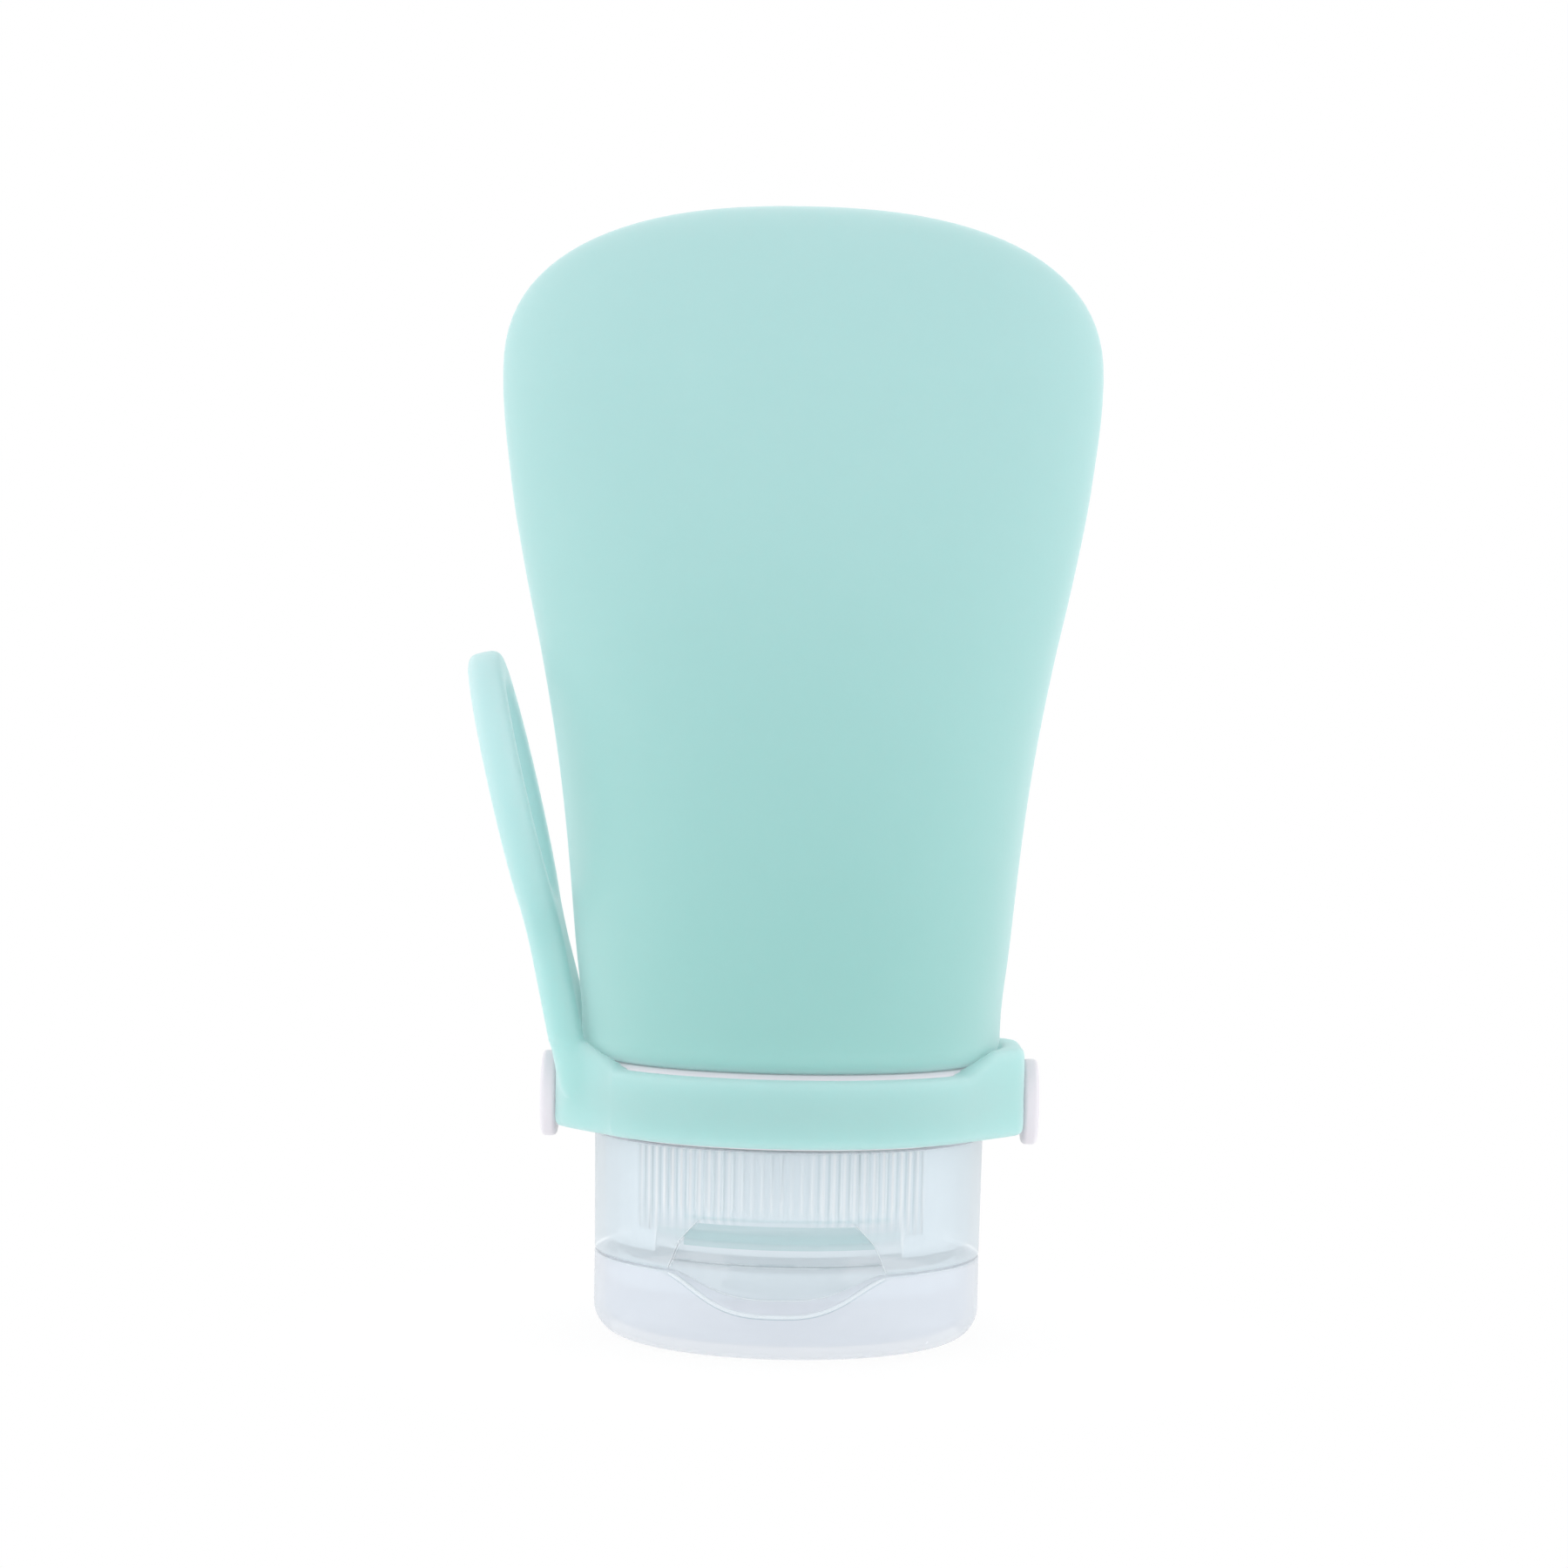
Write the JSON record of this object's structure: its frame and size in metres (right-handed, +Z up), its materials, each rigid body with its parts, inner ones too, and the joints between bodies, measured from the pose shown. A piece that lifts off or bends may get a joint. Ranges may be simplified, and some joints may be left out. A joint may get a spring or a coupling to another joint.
{
  "type": "travel silicone bottle",
  "caption": "Squeezable silicone travel bottle that stands on a flip-top screw cap, with a swivelling collar and a silicone hanging loop.",
  "frame": {"origin": "centre of the closed lid's flat standing face", "axes": "+Z up along the bottle, away from the cap; +X across the wide face, away from the hanging loop; the cap's thumb scoop looks towards -Y"},
  "size_m": [0.0708, 0.049, 0.1266],
  "materials": {
    "silicone": "matt, pale turquoise, slightly translucent",
    "white_plastic": "satin moulded white",
    "frosted_plastic": "frosted, natural polypropylene, slightly translucent",
    "lid_plastic": "smooth, natural polypropylene, slightly translucent",
    "seal_silicone": "clear soft silicone"
  },
  "bodies": {
    "bottle": {"bottle_body": "silicone", "neck_ring": "white_plastic"},
    "collar": {"swivel_collar": "white_plastic", "stud_left": "white_plastic", "stud_right": "white_plastic", "loop_band": "silicone"},
    "seal": {"cap_gasket": "seal_silicone"},
    "cap": {"cap_base": "frosted_plastic", "drip_valve": "seal_silicone", "valve_retainer": "frosted_plastic", "living_hinge": "frosted_plastic"},
    "lid": {"lid": "lid_plastic"}
  },
  "joints": [
    {"name": "collar_swivel", "type": "hinge", "parent": "bottle", "child": "collar", "pos_m": [0, 0, 0.027], "axis": [0, 0, 1], "continuous": true},
    {"name": "cap_lift", "type": "slide", "parent": "bottle", "child": "seal", "axis": [0, 0, -1], "range_m": [0, 0.005]},
    {"name": "cap_turn", "type": "hinge", "parent": "seal", "child": "cap", "pos_m": [0, 0, 0.0095], "axis": [0, 0, -1], "range_deg": [0, 450]},
    {"name": "lid_flip", "type": "hinge", "parent": "cap", "child": "lid", "pos_m": [0.00128, 0.02091, 0.00935], "axis": [0.9981, -0.061, 0], "range_deg": [0, 130], "deforming": ["living_hinge"]}
  ],
  "couplings": [
    {"joint": "cap_lift", "follows": "cap_turn", "m_per_rad": 0.00063661}
  ]
}
